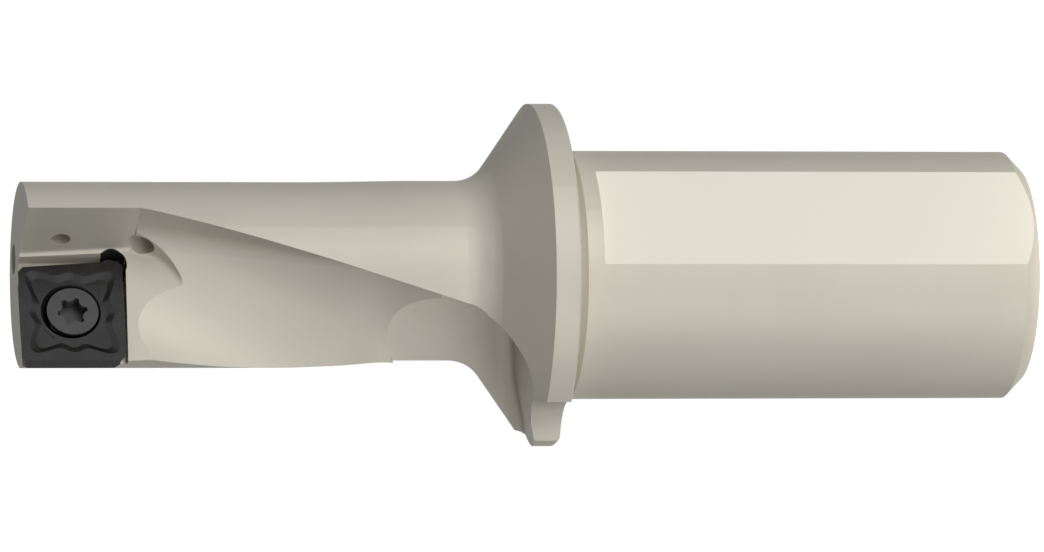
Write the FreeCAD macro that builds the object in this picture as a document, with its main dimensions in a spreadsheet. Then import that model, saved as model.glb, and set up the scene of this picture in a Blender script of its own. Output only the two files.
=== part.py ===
import FreeCAD, Part
import os
from math import sin, cos, tan, radians, sqrt

V = FreeCAD.Vector
doc = FreeCAD.newDocument("drilling_turning_tool")

# Driving dimensions in millimetres and degrees.
# The tool axis is Z, the shank end is z = 0 and the cutting end points to +Z.
# "level" is a height above the tool axis on the chip side, "side" a distance from
# the axis towards the flute wall, both in the frame of the surface they belong to.
sheet = doc.addObject("Spreadsheet::Sheet", "Dimensions")
DIMENSIONS = [
    ("body_length", 130.0), ("shank_diameter", 32.0), ("shank_length", 61.3),
    ("shank_chamfer", 2.1), ("groove_width", 2.0), ("groove_depth", 0.8),
    ("flange_diameter", 44.1), ("flange_rim_width", 3.25), ("rim_chamfer", 0.25),
    ("cone_half_angle", 55.0),
    ("neck_diameter", 24.2), ("neck_fillet", 5.0), ("neck_share", 0.125),
    ("head_diameter", 23.8), ("taper_share", 0.213),
    ("flat_distance", 14.46), ("flat_setback", 4.1),
    ("bore_diameter", 12.0), ("bore_depth", 52.0), ("bore_tip_angle", 31.0),
    ("channel_overlap", 4.0),
    ("flute_turn", 0.0), ("flute_side", 3.12), ("land_level", -0.57),
    ("land_cross_slope", 10.5), ("land_axial_slope", 5.6),
    ("land_length", 21.8), ("land_corner", 9.5), ("land_fillet", 0.7),
    ("land_corner_height", 6.5),
    ("helix_start", 14.4), ("helix_lead", 238.5), ("helix_side", 3.15),
    ("helix_level", -0.6), ("helix_slope", 11.0), ("helix_fillet", 4.5),
    ("helix_hollow", 0.7), ("helix_hollow_width", 10.0), ("helix_lift_run", 11.4),
    ("helix_lift", 4.2), ("helix_wall_ease", 0.3),
    ("runout_turn", -55.5), ("runout_level", 0.17), ("runout_radius", 9.3),
    ("runout_side", -8.3), ("runout_setback", 10.75), ("runout_exit_angle", 7.0),
    ("runout_bend_at", 7.2), ("runout_bend", 6.5), ("runout_fillet", 2.0),
    ("runout_flat_radius", 7.0), ("notch_side", 8.17), ("notch_level", 14.4),
    ("notch_corner", 7.4), ("notch_overrun", 10.75),
    ("insert_turn", -3.0), ("insert_level", 0.3), ("insert_thickness", 3.97),
    ("insert_clearance_angle", 13.0), ("insert_lead", 0.48), ("insert_outer", 12.36),
    ("insert_length", 13.3), ("insert_front_width", 13.3), ("insert_rear_width", 14.25),
    ("insert_front_slope", 0.12), ("insert_rear_slope", 0.27), ("insert_chamfer", 0.62),
    ("insert_rim", 1.3), ("recess_depth", 0.45),
    ("recess_wall", 0.9), ("recess_wave", 0.42), ("insert_bore", 5.2),
    ("sink_diameter", 7.7), ("sink_half_angle", 30.0), ("mark_size", 1.7),
    ("mark_depth", 0.08), ("mark_out", 3.9), ("mark_up", 4.15), ("mark_skew", 0.27),
    ("hole_shift_along", 0.12), ("hole_shift_across", 0.29),
    ("pocket_relief_level", -2.0), ("pocket_relief_side", 2.7), ("pocket_relief_rear", 0.38),
    ("pocket_corner_diameter", 3.9), ("pocket_corner_depth", 1.0),
    ("pocket_corner_along", 1.5), ("pocket_corner_across", 0.85), ("seat_gap", 0.0),
    ("screw_diameter", 4.5), ("screw_length", 9.6), ("screw_head_diameter", 6.6),
    ("screw_head_rim", 0.35), ("screw_shift", 0.28), ("screw_shift_angle", 157.0),
    ("screw_bevel", 0.5), ("socket_angle", 20.0), ("screw_gap", 0.01),
    ("thread_clearance", 0.02), ("socket_tip_diameter", 3.9), ("socket_root_diameter", 2.85),
    ("socket_notch_diameter", 1.7), ("socket_depth", 1.9),
    ("front_outlet_diameter", 3.85), ("front_outlet_radius", 7.9), ("front_outlet_angle", 44.9),
    ("front_channel_foot", 3.6), ("side_channel_diameter", 3.0), ("side_channel_radius", 7.7),
    ("side_channel_angle", -22.5), ("side_channel_top", 3.6), ("side_channel_foot", 3.6),
    ("small_outlet_diameter", 2.55), ("small_outlet_level", 3.64), ("small_outlet_setback", 4.9),
    ("large_outlet_diameter", 3.6), ("large_outlet_level", 3.12), ("large_outlet_setback", 15.6),
    ("large_outlet_angle", 50.0),
]
for row, (name, value) in enumerate(DIMENSIONS, 1):
    sheet.set("A%d" % row, name)
    sheet.set("B%d" % row, str(value))
    sheet.setAlias("B%d" % row, name)
doc.recompute()


def dim(name):
    return float(getattr(sheet, name))


def bind(obj, **expressions):
    """Bind properties of an object to spreadsheet aliases."""
    for prop, text in expressions.items():
        for name, _ in sorted(DIMENSIONS, key=lambda d: -len(d[0])):
            text = text.replace("@" + name, "Dimensions." + name)
        obj.setExpression(prop, text)
    return obj


def primitive(kind, name, placement=None, **expressions):
    obj = bind(doc.addObject("Part::" + kind, name), **expressions)
    if placement is not None:
        obj.Placement = placement
    return obj


def feature(name, shape, placement=None):
    obj = doc.addObject("Part::Feature", name)
    obj.Shape = shape
    if placement is not None:
        obj.Placement = placement
    return obj


def fuse(name, items):
    obj = doc.addObject("Part::MultiFuse", name)
    obj.Shapes = items
    return obj


def cut(name, base, tool):
    obj = doc.addObject("Part::Cut", name)
    obj.Base, obj.Tool = base, tool
    return obj


def turned(angle):
    """Frame turned about the tool axis: x to the flute wall, y away from the chip side."""
    return FreeCAD.Placement(V(0, 0, 0), FreeCAD.Rotation(V(0, 0, 1), angle))


def upright(angle, side, level, z):
    """Frame on a milled surface: x along the tool axis, y to the flute wall, z into the metal."""
    rot = FreeCAD.Rotation(V(0, 0, 1), V(1, 0, 0), V(0, 1, 0), "XYZ")
    local = FreeCAD.Placement(V(side, -level, z), rot)
    return turned(angle).multiply(local)


def along(base, direction):
    return FreeCAD.Placement(base, FreeCAD.Rotation(V(0, 0, 1), direction))


def origin_plane(body, role):
    return [o for o in body.Origin.OriginFeatures if o.Role == role][0]


def profile(body, role, name, points, arcs=()):
    """Closed sketch; every corner is placed by expressions and marked arcs get a radius."""
    sk = body.newObject("Sketcher::SketchObject", name)
    sk.AttachmentSupport = (origin_plane(body, role), [""])
    sk.MapMode = "FlatFace"
    arcs = dict((a[0], a[1:]) for a in arcs)
    at = [V(x, y, 0) for x, y, _, _ in points]
    count = len(at)
    for i in range(count):
        a, b = at[i], at[(i + 1) % count]
        if i in arcs:
            centre, radius = arcs[i][0], a.distanceToPoint(arcs[i][0])
            circle = Part.Circle(centre, V(0, 0, 1), radius)
            # the arc is stored counter-clockwise, from b to a
            sk.addGeometry(Part.ArcOfCircle(circle, circle.parameter(b), circle.parameter(a)))
        else:
            sk.addGeometry(Part.LineSegment(a, b))
    import Sketcher
    for i in range(count):
        j = (i + 1) % count
        end = 1 if i in arcs else 2
        start = 2 if j in arcs else 1
        sk.addConstraint(Sketcher.Constraint("Coincident", i, end, j, start))
    for i, (x, y, ex, ey) in enumerate(points):
        start = 2 if i in arcs else 1
        for kind, value, text in (("DistanceX", x, ex), ("DistanceY", y, ey)):
            k = sk.addConstraint(Sketcher.Constraint(kind, -1, 1, i, start, value))
            if text:
                bind(sk, **{"Constraints[%d]" % k: text})
    for i in arcs:
        radius = at[i].distanceToPoint(arcs[i][0])
        k = sk.addConstraint(Sketcher.Constraint("Radius", i, radius))
        bind(sk, **{"Constraints[%d]" % k: arcs[i][1]})
    return sk


# Turned blank of the holder: shank, relief groove, flange with cone, neck and head.
blank = doc.addObject("PartDesign::Body", "Turned_blank")
half = radians(dim("cone_half_angle"))
r_shank, r_flange = dim("shank_diameter") / 2, dim("flange_diameter") / 2
r_neck, r_head = dim("neck_diameter") / 2, dim("head_diameter") / 2
z_flange = dim("shank_length")
z_rim = z_flange + dim("flange_rim_width")
z_corner = z_rim + (r_flange - r_neck) / tan(half)
reach = dim("neck_fillet") * tan(half / 2)
CORNER = ("(@shank_length + @flange_rim_width + (@flange_diameter - @neck_diameter) / 2"
          " / tan(@cone_half_angle * 1deg))")
REACH = "@neck_fillet * tan(@cone_half_angle * 0.5deg)"
length = dim("body_length")
# The neck, a slight taper and the head share the length between the fillet and the tip.
z_neck = z_corner + reach
z_taper = z_neck + (length - z_neck) * dim("neck_share")
z_head_foot = z_taper + (length - z_neck) * dim("taper_share")
FREE = "(@body_length - " + CORNER + " - " + REACH + ")"
points = [
    (0, 0, "", ""),
    (r_shank - dim("shank_chamfer"), 0, "@shank_diameter / 2 - @shank_chamfer", ""),
    (r_shank, dim("shank_chamfer"), "@shank_diameter / 2", "@shank_chamfer"),
    (r_shank, z_flange - dim("flat_setback"), "@shank_diameter / 2",
     "@shank_length - @flat_setback"),
    (r_shank, z_flange - dim("groove_width"), "@shank_diameter / 2",
     "@shank_length - @groove_width"),
    (r_shank - dim("groove_depth"), z_flange - dim("groove_width") + dim("groove_depth"),
     "@shank_diameter / 2 - @groove_depth", "@shank_length - @groove_width + @groove_depth"),
    (r_shank - dim("groove_depth"), z_flange, "@shank_diameter / 2 - @groove_depth",
     "@shank_length"),
    (r_flange - dim("rim_chamfer"), z_flange, "@flange_diameter / 2 - @rim_chamfer",
     "@shank_length"),
    (r_flange, z_flange + dim("rim_chamfer"), "@flange_diameter / 2",
     "@shank_length + @rim_chamfer"),
    (r_flange, z_rim, "@flange_diameter / 2", "@shank_length + @flange_rim_width"),
    (r_neck + reach * sin(half), z_corner - reach * cos(half),
     "@neck_diameter / 2 + " + REACH + " * sin(@cone_half_angle * 1deg)",
     CORNER + " - " + REACH + " * cos(@cone_half_angle * 1deg)"),
    (r_neck, z_neck, "@neck_diameter / 2", CORNER + " + " + REACH),
    (r_neck, z_taper, "@neck_diameter / 2",
     CORNER + " + " + REACH + " + " + FREE + " * @neck_share"),
    (r_head, z_head_foot, "@head_diameter / 2",
     CORNER + " + " + REACH + " + " + FREE + " * (@neck_share + @taper_share)"),
    (r_head, length, "@head_diameter / 2", "@body_length"),
    (0, length, "", "@body_length"),
]
fillet_centre = V(r_neck + dim("neck_fillet"), z_neck, 0)
sketch = profile(blank, "XZ_Plane", "Blank_profile", points,
                 [(10, fillet_centre, "@neck_fillet")])
doc.recompute()
spin = blank.newObject("PartDesign::Revolution", "Blank_turning")
spin.Profile = sketch
spin.ReferenceAxis = (sketch, ["V_Axis"])
spin.Angle = 360
spin.Refine = False
# The seam of the turned faces lies in the clamping flat, on the -Y side.
blank.Placement = FreeCAD.Placement(V(0, 0, 0), FreeCAD.Rotation(V(0, 0, 1), -90))
doc.recompute()

# Clamping flat along the shank, facing -Y.
flat = primitive("Box", "Shank_flat_cut", Length="@shank_diameter + 2",
                 Width="@shank_diameter / 2", Height="@shank_length - @flat_setback + 1")
flat.Placement = FreeCAD.Placement(
    V(-r_shank - 1, -dim("flat_distance") - r_shank, -1), FreeCAD.Rotation())

# Coolant: inlet bore in the shank, two drilled channels and three outlets.
bore = primitive("Cylinder", "Inlet_bore", Radius="@bore_diameter / 2", Height="@bore_depth")
bore_tip = primitive("Cone", "Inlet_bore_tip", FreeCAD.Placement(V(0, 0, dim("bore_depth")),
                     FreeCAD.Rotation()), Radius1="@bore_diameter / 2", Radius2="0",
                     Height="@bore_diameter / 2 * tan(@bore_tip_angle * 1deg)")


def polar(radius, angle, z):
    return V(radius * cos(radians(angle)), radius * sin(radians(angle)), z)


def channel(name, foot, head, diameter):
    """Drilled channel that starts inside the inlet bore."""
    return primitive("Cylinder", name, along(foot, head - foot),
                     Radius=diameter + " / 2", Height=str((head - foot).Length))


z_foot = dim("bore_depth") - dim("channel_overlap")
front_head = polar(dim("front_outlet_radius"), dim("front_outlet_angle"), length)
front_foot = polar(dim("front_channel_foot"), dim("front_outlet_angle"), z_foot)
front_channel = channel("Front_channel", front_foot,
                        front_head + (front_head - front_foot) * 0.02, "@front_outlet_diameter")
side_head = polar(dim("side_channel_radius"), dim("side_channel_angle"),
                  length - dim("side_channel_top"))
side_foot = polar(dim("side_channel_foot"), dim("side_channel_angle"), z_foot)
side_channel = channel("Side_channel", side_foot, side_head, "@side_channel_diameter")
flute = turned(dim("flute_turn"))


def outlet(name, setback, level, tilt, diameter):
    """Outlet drilled from the flute wall into the side channel."""
    z = length - setback
    t = (length - dim("side_channel_top") - z_foot)
    share = (z - z_foot) / t
    radius = dim("side_channel_foot") + share * (dim("side_channel_radius")
                                                 - dim("side_channel_foot"))
    target = polar(radius, dim("side_channel_angle"), z)
    wall = flute.multVec(V(dim("flute_side"), -level, z))
    target.z -= target.distanceToPoint(wall) * tan(radians(tilt))
    axis = target - wall
    axis.normalize()
    start = wall - axis * dim(diameter) * 0.5
    return primitive("Cylinder", name, along(start, axis), Radius="@" + diameter + " / 2",
                     Height=str((target - start).Length))


small_outlet = outlet("Small_outlet", dim("small_outlet_setback"),
                      dim("small_outlet_level"), 0, "small_outlet_diameter")
large_outlet = outlet("Large_outlet", dim("large_outlet_setback"),
                      dim("large_outlet_level"), 90 - dim("large_outlet_angle"),
                      "large_outlet_diameter")

# Straight part of the flute: a milled land beside the insert with a wall on one side,
# a round end-mill corner towards the shank and a small fillet along the foot of the wall.
# The land rises towards the wall and towards the shank.
over = 6.0
wide = dim("head_diameter") / 2 + over
deep = dim("head_diameter") / 2 - dim("land_level") + over
corner = dim("land_corner")
end = -dim("land_length")
outline = Part.makePolygon([V(over, 0, 0), V(end + corner, 0, 0)])
bend = corner * (1 - sqrt(0.5))
arc = Part.Arc(V(end + corner, 0, 0), V(end + bend, -bend, 0), V(end, -corner, 0)).toShape()
rest = Part.makePolygon([V(end, -corner, 0), V(end, -wide - dim("flute_side"), 0),
                         V(over, -wide - dim("flute_side"), 0), V(over, 0, 0)])
wire = Part.Wire(outline.Edges + [arc] + rest.Edges)
low = dim("land_corner_height") - dim("land_level")
prism = Part.Face(wire).extrude(V(0, 0, -low - deep))
prism.translate(V(0, 0, deep))
front = Part.makeBox(over + dim("helix_start"), wide + dim("flute_side"), 2 * deep,
                     V(-dim("helix_start"), -wide - dim("flute_side"), -deep))
prism = prism.fuse(front).removeSplitter()
below = Part.makeBox(8 * deep, 8 * deep, 4 * deep, V(-4 * deep, -4 * deep, 0))
below.rotate(V(0, 0, 0), V(1, 0, 0), -dim("land_cross_slope"))
below.rotate(V(0, 0, 0), V(0, 1, 0), -dim("land_axial_slope"))
below.translate(V(0, -dim("flute_side"), 0))
land_tool = prism.cut(below)
floor = [f for f in land_tool.Faces if f.Surface.TypeId == "Part::GeomPlane"
         and 0.9 < abs(f.normalAt(0, 0).z) < 0.9999][0]
foot = [e for e in floor.Edges if e.BoundBox.YMax > -corner - 1e-3
        and e.BoundBox.YMin > -corner - 1e-3 and e.BoundBox.XMin < over - 1e-3]
land_tool = land_tool.makeFillet(dim("land_fillet"), foot)
land = feature("Straight_flute", land_tool,
               upright(dim("flute_turn"), dim("flute_side"), dim("land_level"), length))

# Helical part of the flute: one section turned about the tool axis. The floor is hollow,
# rises towards the wall and lifts at the shank end, where the cutter leaves the metal.


def helix_section(z, lift, ease, turn):
    side, r_corner = dim("helix_side") - ease, dim("helix_fillet")
    slope, sag = radians(dim("helix_slope")), dim("helix_hollow")
    half_span = dim("helix_hollow_width") / 2
    radius = (half_span ** 2 + sag ** 2) / (2 * sag)
    outer = V(-dim("head_diameter") / 2, -dim("helix_level") - lift, 0)
    run = V(cos(slope), -sin(slope), 0)
    up = V(-sin(slope), -cos(slope), 0)
    centre = outer + run * half_span + up * (radius - sag)
    fx = side - r_corner
    fy = centre.y + sqrt((radius - r_corner) ** 2 - (fx - centre.x) ** 2)
    toward = V(fx, fy, 0) - centre
    toward.normalize()
    touch = centre + toward * radius
    far = outer.x - over
    first = V(far, centre.y + sqrt(radius ** 2 - (far - centre.x) ** 2), 0)
    middle = (touch - centre).normalize() + (first - centre).normalize()
    middle.normalize()
    bisect = toward + V(1, 0, 0)
    bisect.normalize()
    top = -r_neck - over
    wall_foot = V(side, fy, 0)
    edges = [Part.Arc(first, centre + middle * radius, touch).toShape(),
             Part.Arc(touch, V(fx, fy, 0) + bisect * r_corner, wall_foot).toShape(),
             Part.makeLine(wall_foot, V(side, top, 0)),
             Part.makeLine(V(side, top, 0), V(far, top, 0)),
             Part.makeLine(V(far, top, 0), first)]
    section = Part.Wire(edges)
    section.Placement = FreeCAD.Placement(V(0, 0, z), FreeCAD.Rotation(V(0, 0, 1), turn))
    return section


z_start = length - dim("helix_start")
z_stop = z_corner + 0.15
z_lift = z_stop + dim("helix_lift_run")
stations = [(z_start + 0.3, 0.0, 0.0), (z_start - 0.9, 0.0, 0.0)]
count = 11
for k in range(1, count + 1):
    stations.append((z_start - 0.9 - (z_start - 0.9 - z_lift - 1.2) * k / count, 0.0, 0.0))
# Along the lift: share of the run, of the floor's lift and of the wall's ease.
for along_run, lift_share, ease_share in ((0, 0.03, 0), (0.11, 0.12, 0), (0.22, 0.26, 0),
                                          (0.48, 0.52, 0), (0.78, 0.79, 0.15), (1, 1, 1)):
    stations.append((z_lift - dim("helix_lift_run") * along_run, dim("helix_lift") * lift_share,
                     dim("helix_wall_ease") * ease_share))
sections = []
for z, lift, ease in stations:
    turn = -360.0 * max(0.0, z_start - z) / dim("helix_lead")
    sections.append(helix_section(z, lift, ease, turn))
helix = feature("Helical_flute", Part.makeLoft(sections, True, False))

# Run-out of the flute: the print of a round-cornered end mill that leaves sideways
# through the cone.
r_slot = dim("runout_radius")
slot_deep = dim("flange_diameter") / 2 + over
far = 2 * dim("flange_diameter")
slot_round = Part.makeCylinder(r_slot, slot_deep, V(0, 0, 0), V(0, 0, -1))
bend_at = dim("runout_bend_at")
bent_x = -r_slot - (far - bend_at) * tan(radians(dim("runout_bend")))
slot_path = Part.makePolygon([V(0, 0, 0), V(-r_slot, 0, 0), V(-r_slot, -bend_at, 0),
                              V(bent_x, -far, 0), V(0, -far, 0), V(0, 0, 0)])
slot_box = Part.Face(slot_path).extrude(V(0, 0, -slot_deep))
half_space = Part.makeBox(far, 2 * far, slot_deep, V(-far, -far, -slot_deep))
slot = slot_round.common(half_space).fuse(slot_box).removeSplitter()
low = [e for e in slot.Edges if abs(e.BoundBox.ZMax) < 1e-6 and abs(e.BoundBox.ZMin) < 1e-6
       and e.BoundBox.YMax > -far + 1 and e.BoundBox.XMin < -r_slot * 0.9]
slot = slot.makeFillet(dim("runout_fillet"), low)
slot.rotate(V(0, 0, 0), V(0, 0, 1), -dim("runout_exit_angle"))
slot_flat = Part.makeCylinder(dim("runout_flat_radius"), slot_deep, V(0, 0, 0), V(0, 0, -1))
slot = slot.fuse(slot_flat)
runout = feature("Flute_runout", slot,
                 upright(dim("runout_turn"), dim("runout_side"), dim("runout_level"),
                         z_rim + dim("runout_setback")))

# Notch milled across the rim of the flange, in line with the run-out.
side, level, r_corner = dim("notch_side"), dim("notch_level"), dim("notch_corner")
big = dim("flange_diameter")
ring = [Part.makeLine(V(-side, -big, 0), V(-side, -level - r_corner, 0)),
        Part.Arc(V(-side, -level - r_corner, 0),
                 V(-side - r_corner * (1 - sqrt(0.5)), -level - r_corner * (1 - sqrt(0.5)), 0),
                 V(-side - r_corner, -level, 0)).toShape(),
        Part.makePolygon([V(-side - r_corner, -level, 0), V(-big, -level, 0), V(-big, -big, 0),
                          V(-side, -big, 0)])]
notch_wire = Part.Wire([ring[0], ring[1]] + ring[2].Edges)
notch_shape = Part.Face(notch_wire).extrude(
    V(0, 0, dim("flange_rim_width") + dim("notch_overrun")))
notch_place = turned(dim("runout_turn"))
notch_place.Base = V(0, 0, z_flange - 1)
notch = feature("Flange_notch", notch_shape, notch_place)

# Insert pocket: seat, two contact walls, relief above them and a round corner relief.
z_insert = length + dim("insert_lead")
lean = tan(radians(dim("insert_clearance_angle")))
thick = dim("insert_thickness")
place = upright(dim("insert_turn"), -dim("insert_outer"), dim("insert_level"), z_insert)
# Corners of the rake face seen along z: x towards the tip, y from the outer edge inwards.
size_x = dim("insert_length")
w_front, w_rear = dim("insert_front_width"), dim("insert_rear_width")
a = V(0.0, 0.0, 0)
b = V(-size_x, 0.0, 0)
c = V(-size_x - dim("insert_rear_slope"), w_rear, 0)
d = V(-dim("insert_front_slope"), w_front, 0)


def inner_line(rear_offset, inner_offset, depth):
    """Rear and inner pocket walls moved outwards at a depth below the rake face."""
    rear = (c - b).normalize()
    rear_out = V(-rear.y, rear.x, 0)
    inner_dir = (d - c).normalize()
    inner_out = V(-inner_dir.y, inner_dir.x, 0)
    p = b + rear_out * (rear_offset - depth * lean)
    q = c + inner_out * (inner_offset - depth * lean)
    det = rear.x * inner_dir.y - rear.y * inner_dir.x
    t = ((q.x - p.x) * inner_dir.y - (q.y - p.y) * inner_dir.x) / det
    corner_point = p + rear * t
    return p, rear, corner_point, inner_dir


def pocket_wire(rear_offset, inner_offset, depth, z):
    p, rear, corner_point, inner_dir = inner_line(rear_offset, inner_offset, depth)
    outer_point = p - rear * 4.0
    tip_point = corner_point + inner_dir * (size_x + 4.0)
    pts = [corner_point, outer_point, V(6, outer_point.y, 0), V(6, tip_point.y, 0), tip_point]
    pts = [V(v.x, v.y, z) for v in pts]
    return Part.makePolygon(pts + [pts[0]])


relief = dim("insert_level") - dim("pocket_relief_level")
gap = dim("seat_gap")
seat = Part.makeLoft([pocket_wire(gap, gap, 0.0, 0.0), pocket_wire(gap, gap, thick, thick)],
                     True, True)
rear_cut = Part.Face(pocket_wire(dim("pocket_relief_rear"), gap, 0.0, 0.0)).extrude(
    V(0, 0, relief))
upper = dim("insert_outer") + dim("pocket_relief_side")
corner_at = c + V(dim("pocket_corner_along"), -dim("pocket_corner_across"), -3.0)
inner_cut = Part.makeBox(6.0 - corner_at.x, 6.0, relief + 3.0,
                         V(corner_at.x, upper - 6.0, -3.0))
corner_cut = Part.makeCylinder(dim("pocket_corner_diameter") / 2,
                               3.0 + thick + dim("pocket_corner_depth"), corner_at)
open_up = Part.Face(pocket_wire(dim("pocket_relief_rear"), gap, 0.0, 0.0)).extrude(
    V(0, 0, -3.0))
pocket = feature("Insert_pocket",
                 seat.fuse([rear_cut, inner_cut, corner_cut, open_up]).removeSplitter(), place)

# Threaded hole for the clamping screw, drilled right through under the seat.
middle = (a + b + c + d) * 0.25
hole_at = middle + V(dim("hole_shift_along"), dim("hole_shift_across"), 0)
shift_angle = radians(dim("screw_shift_angle"))
screw_at = hole_at + V(cos(shift_angle), sin(shift_angle), 0) * dim("screw_shift")
screw_place = place.multiply(FreeCAD.Placement(screw_at, FreeCAD.Rotation()))
thread = primitive("Cylinder", "Screw_hole", screw_place,
                   Radius="@screw_diameter / 2 + @thread_clearance",
                   Height="@head_diameter")

holder_cuts = fuse("Holder_cuts", [flat, bore, bore_tip, front_channel, side_channel,
                                   small_outlet, large_outlet, land, helix, runout, notch,
                                   pocket, thread])
holder = cut("tool_holder", blank, holder_cuts)
holder.Refine = False
holder.Label = "tool_holder"

# Indexable insert: a tapered four-sided block with bevelled corners.
cham = dim("insert_chamfer")
block = doc.addObject("PartDesign::Body", "Insert_block")
REAR_RUN = "@insert_rear_slope / @insert_rear_width"
INNER_RUN = "(@insert_rear_width - @insert_front_width) / @insert_length"
FRONT_RUN = "@insert_front_slope / @insert_front_width"
rear_run = dim("insert_rear_slope") / w_rear
inner_run = (w_rear - w_front) / size_x
front_run = dim("insert_front_slope") / w_front
insert_points = [
    (-cham, 0, "-@insert_chamfer", ""),
    (b.x + cham, 0, "-@insert_length + @insert_chamfer", ""),
    (b.x - rear_run * cham, cham, "-@insert_length - @insert_chamfer * " + REAR_RUN,
     "@insert_chamfer"),
    (c.x + rear_run * cham, c.y - cham,
     "-@insert_length - @insert_rear_slope + @insert_chamfer * " + REAR_RUN,
     "@insert_rear_width - @insert_chamfer"),
    (c.x + cham, c.y - inner_run * cham,
     "-@insert_length - @insert_rear_slope + @insert_chamfer",
     "@insert_rear_width - @insert_chamfer * " + INNER_RUN),
    (d.x - cham, d.y + inner_run * cham, "-@insert_front_slope - @insert_chamfer",
     "@insert_front_width + @insert_chamfer * " + INNER_RUN),
    (d.x + front_run * cham, d.y - cham,
     "-@insert_front_slope + @insert_chamfer * " + FRONT_RUN,
     "@insert_front_width - @insert_chamfer"),
    (-front_run * cham, cham, "-@insert_chamfer * " + FRONT_RUN, "@insert_chamfer"),
]
outline = profile(block, "XY_Plane", "Insert_outline", insert_points)
doc.recompute()
pad = block.newObject("PartDesign::Pad", "Insert_pad")
pad.Profile = outline
bind(pad, Length="@insert_thickness", TaperAngle="-@insert_clearance_angle")
doc.recompute()
block.Placement = place

# Chipbreaker: a sunken floor inside a wavy sloping wall.


def wave(inset, z):
    pts = []
    for k in range(72):
        t = radians(5 * k)
        hx = size_x / 2 - inset
        hy = (w_front + w_rear) / 4 - inset
        r = (abs(cos(t) / hx) ** 8 + abs(sin(t) / hy) ** 8) ** (-1 / 8.0)
        r += dim("recess_wave") * (cos(8 * t) - 0.7 * cos(4 * t) + 0.2 * sin(2 * t))
        pts.append(middle + V(r * cos(t), r * sin(t), z))
    curve = Part.BSplineCurve()
    curve.interpolate(pts, PeriodicFlag=True)
    return Part.Wire([curve.toShape()])


depth = dim("recess_depth")
rim, slope = dim("insert_rim"), dim("recess_wall")
recess = feature("Chipbreaker", Part.makeLoft(
    [wave(rim - slope, -depth), wave(rim + slope, depth)], True, True), place)

# Two small index triangles on the sunken floor, one per cutting corner.
size, out, up, skew = dim("mark_size"), dim("mark_out"), dim("mark_up"), dim("mark_skew")
marks = []
for name, turn in (("Index_mark_one", 0), ("Index_mark_two", 180)):
    tri = Part.makePolygon([V(-out, up, 0), V(-out + size, up - skew, 0),
                            V(-out + skew, up - size, 0), V(-out, up, 0)])
    mark = Part.Face(tri).extrude(V(0, 0, depth + dim("mark_depth")))
    turned_mark = FreeCAD.Placement(hole_at, FreeCAD.Rotation(V(0, 0, 1), turn))
    marks.append(feature(name, mark, place.multiply(turned_mark)))

# Countersunk hole of the insert.
hole_place = place.multiply(FreeCAD.Placement(hole_at, FreeCAD.Rotation()))
insert_hole = primitive("Cylinder", "Insert_hole", hole_place, Radius="@insert_bore / 2",
                        Height="@insert_thickness + 1")
sink_place = place.multiply(FreeCAD.Placement(hole_at + V(0, 0, depth), FreeCAD.Rotation()))
sink = primitive("Cone", "Insert_sink", sink_place, Radius1="@sink_diameter / 2",
                 Radius2="@insert_bore / 2",
                 Height="(@sink_diameter - @insert_bore) / 2 / tan(@sink_half_angle * 1deg)")
insert_cuts = fuse("Insert_cuts", [recess, insert_hole, sink] + marks)
insert = cut("cutting_insert", block, insert_cuts)
insert.Label = "cutting_insert"

# Clamping screw: flat head with a cone under it, plain shank, six-lobed socket.
# It sits off centre in the insert hole, so the head bears on the side of the pocket corner.
sink_tan = tan(radians(dim("sink_half_angle")))
r_top = dim("screw_head_diameter") / 2
z_rim_screw = depth + (dim("sink_diameter") / 2 - r_top - dim("screw_shift")
                       - dim("screw_gap")) / sink_tan
z_head = z_rim_screw - dim("screw_head_rim")
r_screw = dim("screw_diameter") / 2


def at_screw(z):
    return place.multiply(FreeCAD.Placement(screw_at + V(0, 0, z), FreeCAD.Rotation()))


head_rim = primitive("Cylinder", "Screw_head_rim", at_screw(z_head),
                     Radius="@screw_head_diameter / 2", Height="@screw_head_rim")
head_cone = primitive("Cone", "Screw_head_cone", at_screw(z_rim_screw),
                      Radius1="@screw_head_diameter / 2", Radius2="@screw_diameter / 2",
                      Height="(@screw_head_diameter - @screw_diameter) / 2"
                             " / tan(@sink_half_angle * 1deg)")
screw_shank = primitive("Cylinder", "Screw_shank", at_screw(z_rim_screw),
                        Radius="@screw_diameter / 2", Height="@screw_length - @screw_bevel")
screw_tip = primitive("Cone", "Screw_tip", at_screw(z_rim_screw + dim("screw_length")
                                               - dim("screw_bevel")),
                      Radius1="@screw_diameter / 2", Radius2="@screw_diameter / 2 - @screw_bevel",
                      Height="@screw_bevel")
screw_solid = fuse("Screw_solid", [head_rim, head_cone, screw_shank, screw_tip])

socket_place = at_screw(z_head)
socket_core = primitive("Cylinder", "Socket_core", socket_place,
                        Radius="@socket_tip_diameter / 2", Height="@socket_depth")
notch_centre = (dim("socket_root_diameter") + dim("socket_notch_diameter")) / 2
lobes = []
for k in range(6):
    angle = radians(60 * k + dim("socket_angle"))
    spot = V(notch_centre * cos(angle), notch_centre * sin(angle), -0.5)
    lobes.append(primitive("Cylinder", "Socket_flute_%d" % (k + 1),
                           socket_place.multiply(FreeCAD.Placement(spot, FreeCAD.Rotation())),
                           Radius="@socket_notch_diameter / 2", Height="@socket_depth + 1"))
socket = cut("Socket", socket_core, fuse("Socket_flutes", lobes))
screw = cut("insert_screw", screw_solid, socket)
screw.Label = "insert_screw"

doc.recompute()

bad = [o.Name for o in doc.Objects if "Invalid" in o.State or "Error" in o.State]
if bad:
    raise RuntimeError("objects in error: " + ", ".join(bad))
for obj in doc.Objects:
    shape = getattr(obj, "Shape", None)
    if shape is not None and not obj.isDerivedFrom("Sketcher::SketchObject"):
        if obj.isDerivedFrom("Part::Feature") and (shape.isNull() or not shape.isValid()):
            raise RuntimeError("bad shape: " + obj.Name)

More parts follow.
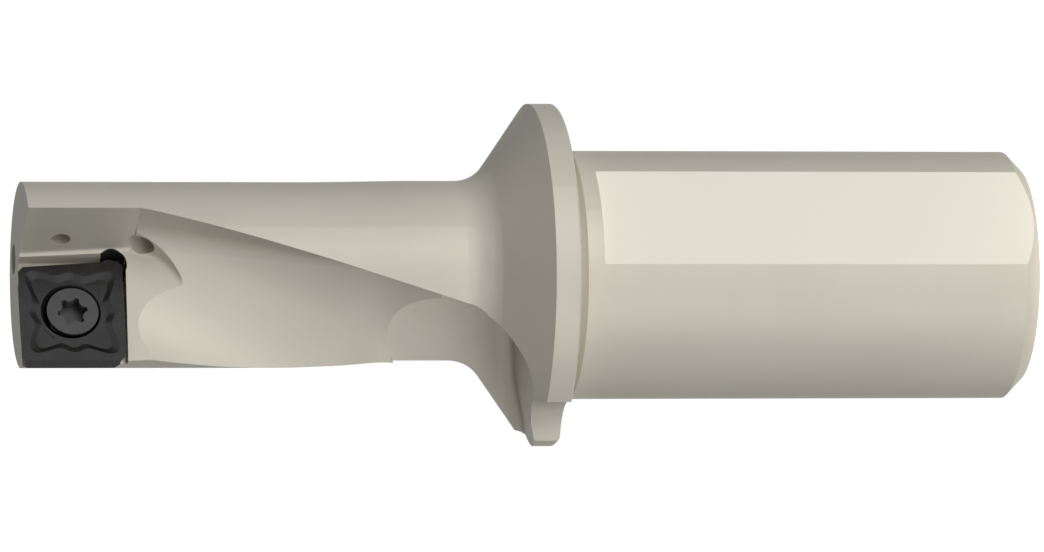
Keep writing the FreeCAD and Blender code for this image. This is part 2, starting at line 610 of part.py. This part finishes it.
os.makedirs("parts", exist_ok=True)
for obj in (holder, insert, screw):
    solids = obj.Shape.Solids
    print(obj.Label, "solids", len(solids), "volume", round(obj.Shape.Volume, 1),
          "faces", len(obj.Shape.Faces), "box", obj.Shape.BoundBox)
    obj.Shape.exportStep("parts/" + obj.Label + ".step")
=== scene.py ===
from math import cos, radians, sin

import bmesh
import bpy
from mathutils import Matrix, Vector


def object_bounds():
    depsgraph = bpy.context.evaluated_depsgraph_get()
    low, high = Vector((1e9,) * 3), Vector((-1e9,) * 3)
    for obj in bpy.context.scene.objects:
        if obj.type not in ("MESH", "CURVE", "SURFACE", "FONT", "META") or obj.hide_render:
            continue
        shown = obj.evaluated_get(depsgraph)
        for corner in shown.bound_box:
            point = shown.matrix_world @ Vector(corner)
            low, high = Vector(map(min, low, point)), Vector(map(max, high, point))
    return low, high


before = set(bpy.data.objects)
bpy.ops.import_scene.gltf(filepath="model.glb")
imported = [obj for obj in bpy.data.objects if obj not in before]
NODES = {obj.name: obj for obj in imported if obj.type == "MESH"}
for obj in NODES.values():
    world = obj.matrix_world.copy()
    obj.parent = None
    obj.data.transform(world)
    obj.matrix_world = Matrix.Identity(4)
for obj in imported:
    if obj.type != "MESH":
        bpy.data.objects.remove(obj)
CAD_BOX = [list(corner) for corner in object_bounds()]
HEIGHT = CAD_BOX[1][2]

# The photograph's view: the camera looks at the tool from the side of the insert, a little
# from the cutting end, rolled so that the tool lies across the picture.
IMAGE_WIDTH = 1044
FOCAL_PIXELS = 8850
SENSOR_WIDTH = 36.0
CAMERA_DISTANCE = 1.139
CAMERA_LIFT = radians(10.02)
CAMERA_TURN = radians(-120.5)
AIM_HEIGHT = 0.06513
AIM_SHIFT = -0.000129

# Finishes, as linear colours.
STEEL_PALE = (0.76, 0.725, 0.63, 1)
STEEL_DEEP = (0.72, 0.685, 0.59, 1)
STEEL_GROUND_AND_HIGHLIGHT = (0.97, 0.93, 0.82, 1)
METAL_EDGE = (0.15, 0.15, 0.15, 1)
CARBIDE_DARK = (0.040, 0.040, 0.041, 1)
CARBIDE_WORN = (0.056, 0.056, 0.057, 1)
SCREW_DARK = (0.075, 0.075, 0.077, 1)
SCREW_PALE = (0.088, 0.088, 0.090, 1)

# The clamping flat has a finer, paler ground finish, and its colour is also lightened as a painted
# highlight: it lies beyond this depth, below this height.
FLAT_DEPTH = -0.01444
FLAT_TOP = 0.05715

# The round relief at the pocket's inner corner gets painted shade inside: its axis, radius, rim
# and floor.
RELIEF_AXIS = (0.00104, 0.0, 0.11843)
RELIEF_RADIUS = 0.00203
RELIEF_RIM = -0.00145
RELIEF_FLOOR = 0.0048
RELIEF_PAINTED_SHADE = (0.032, 0.032, 0.030, 1)

# Sizes of the noise patterns, in features per metre of the object.
STEEL_CLOUD, STEEL_GLOSS_CLOUD, STEEL_GRAIN = 60, 140, 9000
CARBIDE_CLOUD, CARBIDE_GRAIN = 350, 14000
SCREW_CLOUD, SCREW_GRAIN = 700, 12000

# Lamps: name, turn and lift in degrees, power in watts. A negative lift is below the tool's
# middle: the floor casts no shadow, and the front face stays as dim as in the photograph.
LAMPS = (("Key", 34, -20, 2.5), ("Middle", 2, -20, 1.6), ("Fill", -35, -15, 1.2),
         ("Back", 190, -20, 1.4))
LAMP_DISTANCE = 0.8
LAMP_SIZE = 0.45
WORLD_LIGHT = 0.05

FLOOR_RADIUS = 3.0
FLOOR_SEGMENTS = 96
FLOOR_PALE = (0.85, 0.85, 0.85, 1)
WHITE = (1, 1, 1, 1)


def side(turn):
    """Direction across the tool axis, turned from the camera's side towards the picture's top."""
    return Vector((cos(CAMERA_TURN + turn), sin(CAMERA_TURN + turn), 0))


def set_camera():
    level = side(0)
    top = side(radians(90))
    back = level * cos(CAMERA_LIFT) + Vector((0, 0, sin(CAMERA_LIFT)))
    right = top.cross(back)
    data = bpy.data.cameras.new("Camera")
    data.sensor_width = SENSOR_WIDTH
    data.lens = FOCAL_PIXELS / IMAGE_WIDTH * SENSOR_WIDTH
    data.clip_end = 20
    camera = bpy.data.objects.new("Camera", data)
    bpy.context.scene.collection.objects.link(camera)
    aim = Vector((0, 0, AIM_HEIGHT)) + top * AIM_SHIFT
    turn = Matrix((right, top, back)).transposed().to_4x4()
    camera.matrix_world = Matrix.Translation(aim + back * CAMERA_DISTANCE) @ turn
    bpy.context.scene.camera = camera


def new_material(name):
    """Material with its nodes, links, surface shader and the piece's own coordinates."""
    material = bpy.data.materials.new(name)
    material.use_nodes = True
    nodes, links = material.node_tree.nodes, material.node_tree.links
    shader = nodes["Principled BSDF"]
    place = nodes.new("ShaderNodeTexCoord").outputs["Object"]
    return material, nodes, links, shader, place


def noise(nodes, links, place, scale, detail=3.0, roughness=0.5):
    texture = nodes.new("ShaderNodeTexNoise")
    texture.inputs["Scale"].default_value = scale
    texture.inputs["Detail"].default_value = detail
    texture.inputs["Roughness"].default_value = roughness
    links.new(place, texture.inputs["Vector"])
    return texture.outputs["Fac"]


def spread(nodes, links, value, low, high, start=0.3, end=0.7):
    """Map a noise value from its usual span to another span."""
    remap = nodes.new("ShaderNodeMapRange")
    remap.inputs["From Min"].default_value = start
    remap.inputs["From Max"].default_value = end
    remap.inputs["To Min"].default_value = low
    remap.inputs["To Max"].default_value = high
    links.new(value, remap.inputs["Value"])
    return remap.outputs["Result"]


def blend_colours(nodes, links, factor, first, second):
    mix = nodes.new("ShaderNodeMix")
    mix.data_type = "RGBA"
    mix.inputs["A"].default_value = first
    mix.inputs["B"].default_value = second
    links.new(factor, mix.inputs["Factor"])
    return mix.outputs["Result"]


def blend_towards(nodes, links, factor, first, second):
    """Blend a colour that comes from other nodes towards a set colour."""
    mix = nodes.new("ShaderNodeMix")
    mix.data_type = "RGBA"
    mix.inputs["B"].default_value = second
    links.new(first, mix.inputs["A"])
    links.new(factor, mix.inputs["Factor"])
    return mix.outputs["Result"]


def raised(nodes, links, height, distance, strength):
    """Normal bumped by a height; the distance is in metres."""
    bump = nodes.new("ShaderNodeBump")
    bump.inputs["Distance"].default_value = distance
    bump.inputs["Strength"].default_value = strength
    links.new(height, bump.inputs["Height"])
    return bump.outputs["Normal"]


def compared(nodes, links, operation, value, limit):
    """One where a value is LESS_THAN or GREATER_THAN the limit, else zero."""
    compare = nodes.new("ShaderNodeMath")
    compare.operation = operation
    compare.inputs[1].default_value = limit
    links.new(value, compare.inputs[0])
    return compare.outputs["Value"]


def both(nodes, links, first, second):
    product = nodes.new("ShaderNodeMath")
    product.operation = "MULTIPLY"
    links.new(first, product.inputs[0])
    links.new(second, product.inputs[1])
    return product.outputs["Value"]


def flat_mask(nodes, links, place):
    """One on the clamping flat, zero on the rest of the holder."""
    axes = nodes.new("ShaderNodeSeparateXYZ")
    links.new(place, axes.inputs["Vector"])
    return both(nodes, links,
                compared(nodes, links, "LESS_THAN", axes.outputs["Y"], FLAT_DEPTH),
                compared(nodes, links, "LESS_THAN", axes.outputs["Z"], FLAT_TOP))


def relief_shade_mask(nodes, links, place):
    """One inside the round relief at the pocket's inner corner, where shade is painted; zero
    elsewhere.
    """
    axes = nodes.new("ShaderNodeSeparateXYZ")
    links.new(place, axes.inputs["Vector"])
    level = nodes.new("ShaderNodeCombineXYZ")
    links.new(axes.outputs["X"], level.inputs["X"])
    links.new(axes.outputs["Z"], level.inputs["Z"])
    reach = nodes.new("ShaderNodeVectorMath")
    reach.operation = "DISTANCE"
    links.new(level.outputs["Vector"], reach.inputs[0])
    reach.inputs[1].default_value = RELIEF_AXIS
    deep = both(nodes, links,
                compared(nodes, links, "GREATER_THAN", axes.outputs["Y"], RELIEF_RIM),
                compared(nodes, links, "LESS_THAN", axes.outputs["Y"], RELIEF_FLOOR))
    return both(nodes, links, deep,
                compared(nodes, links, "LESS_THAN", reach.outputs["Value"], RELIEF_RADIUS))


def satin_steel():
    """Blasted, nickel-pale tool steel: fine even grain, faint cloudiness in tone and gloss."""
    material, nodes, links, shader, place = new_material("satin_steel")
    cloud = spread(nodes, links, noise(nodes, links, place, STEEL_CLOUD), 0, 1)
    grain = noise(nodes, links, place, STEEL_GRAIN, 2.0, 0.6)
    tone = blend_colours(nodes, links, cloud, STEEL_PALE, STEEL_DEEP)
    fleck = spread(nodes, links, grain, 0.0, 0.16)
    flecked = blend_towards(nodes, links, fleck, tone, STEEL_DEEP)
    # The clamping flat is paler: a finer ground finish, and partly a painted highlight.
    ground_and_highlight = blend_towards(nodes, links, flat_mask(nodes, links, place), flecked, STEEL_GROUND_AND_HIGHLIGHT)
    # Painted shade: the inside of the round relief is darkened.
    colour = blend_towards(nodes, links, relief_shade_mask(nodes, links, place), ground_and_highlight, RELIEF_PAINTED_SHADE)
    links.new(colour, shader.inputs["Base Color"])
    shader.inputs["Metallic"].default_value = 0.2
    shader.inputs["Specular IOR Level"].default_value = 0.05
    shader.inputs["Specular Tint"].default_value = METAL_EDGE
    gloss_cloud = noise(nodes, links, place, STEEL_GLOSS_CLOUD)
    links.new(spread(nodes, links, gloss_cloud, 0.42, 0.48), shader.inputs["Roughness"])
    links.new(raised(nodes, links, grain, 0.00001, 0.35), shader.inputs["Normal"])
    return material


def coated_carbide():
    """Dark coated carbide: fine sintered grain under a satin coating."""
    material, nodes, links, shader, place = new_material("coated_carbide")
    cloud = spread(nodes, links, noise(nodes, links, place, CARBIDE_CLOUD), 0, 0.5)
    grain = noise(nodes, links, place, CARBIDE_GRAIN, 3.0, 0.6)
    links.new(blend_colours(nodes, links, cloud, CARBIDE_DARK, CARBIDE_WORN),
              shader.inputs["Base Color"])
    shader.inputs["Metallic"].default_value = 0.8
    shader.inputs["Specular IOR Level"].default_value = 0.2
    shader.inputs["Specular Tint"].default_value = METAL_EDGE
    links.new(spread(nodes, links, grain, 0.24, 0.34), shader.inputs["Roughness"])
    links.new(raised(nodes, links, grain, 0.000006, 0.3), shader.inputs["Normal"])
    return material


def blackened_steel():
    """Dark screw steel, a little cloudy, with a fine grain."""
    material, nodes, links, shader, place = new_material("blackened_steel")
    cloud = spread(nodes, links, noise(nodes, links, place, SCREW_CLOUD), 0, 1)
    grain = noise(nodes, links, place, SCREW_GRAIN, 2.0, 0.6)
    links.new(blend_colours(nodes, links, cloud, SCREW_DARK, SCREW_PALE),
              shader.inputs["Base Color"])
    shader.inputs["Metallic"].default_value = 0.3
    shader.inputs["Specular IOR Level"].default_value = 0.25
    links.new(spread(nodes, links, grain, 0.36, 0.48), shader.inputs["Roughness"])
    links.new(raised(nodes, links, grain, 0.000006, 0.3), shader.inputs["Normal"])
    return material


def give_finish(node, material):
    for material_slot in NODES[node].material_slots:
        material_slot.material = material


def add_lamp(name, turn, lift, power):
    """Square soft lamp that points at the tool's middle; turn and lift are in degrees."""
    data = bpy.data.lights.new(name, "AREA")
    data.size = LAMP_SIZE
    data.energy = power
    lamp_object = bpy.data.objects.new(name, data)
    bpy.context.scene.collection.objects.link(lamp_object)
    away = side(radians(turn)) * cos(radians(lift)) + Vector((0, 0, sin(radians(lift))))
    lamp_object.location = Vector((0, 0, HEIGHT / 2)) + away * LAMP_DISTANCE
    lamp_object.rotation_mode = "QUATERNION"
    lamp_object.rotation_quaternion = away.to_track_quat("Z", "Y")


def seen_ray(nodes, links):
    """One for rays that show the background: from the camera, a reflection or through glass."""
    path = nodes.new("ShaderNodeLightPath")
    total = path.outputs["Is Camera Ray"]
    for kind in ("Is Glossy Ray", "Is Transmission Ray"):
        highest = nodes.new("ShaderNodeMath")
        highest.operation = "MAXIMUM"
        links.new(total, highest.inputs[0])
        links.new(path.outputs[kind], highest.inputs[1])
        total = highest.outputs["Value"]
    return total


def set_world():
    world = bpy.data.worlds.new("Studio")
    world.use_nodes = True
    nodes, links = world.node_tree.nodes, world.node_tree.links
    background = nodes["Background"]
    background.inputs["Color"].default_value = WHITE
    links.new(spread(nodes, links, seen_ray(nodes, links), WORLD_LIGHT, 1.0, 0, 1),
              background.inputs["Strength"])
    bpy.context.scene.world = world


def make_floor():
    """Pale floor that reads as white when it is seen and keeps the object's shadow."""
    mesh = bpy.data.meshes.new("Floor")
    floor = bmesh.new()
    bmesh.ops.create_circle(floor, cap_ends=True, segments=FLOOR_SEGMENTS, radius=FLOOR_RADIUS)
    floor.to_mesh(mesh)
    floor.free()
    floor_object = bpy.data.objects.new("Floor", mesh)
    bpy.context.scene.collection.objects.link(floor_object)
    floor_object.visible_shadow = False
    material, nodes, links, shader, _ = new_material("pale_floor")
    shader.inputs["Base Color"].default_value = FLOOR_PALE
    shader.inputs["Roughness"].default_value = 0.9
    shader.inputs["Specular IOR Level"].default_value = 0.0
    shader.inputs["Emission Color"].default_value = WHITE
    links.new(spread(nodes, links, seen_ray(nodes, links), 0.0, 1.0, 0, 1),
              shader.inputs["Emission Strength"])
    mesh.materials.append(material)


give_finish("tool_holder", satin_steel())
give_finish("cutting_insert", coated_carbide())
give_finish("insert_screw", blackened_steel())
set_camera()
for settings in LAMPS:
    add_lamp(*settings)
set_world()
make_floor()
bpy.context.scene.view_settings.view_transform = "Standard"
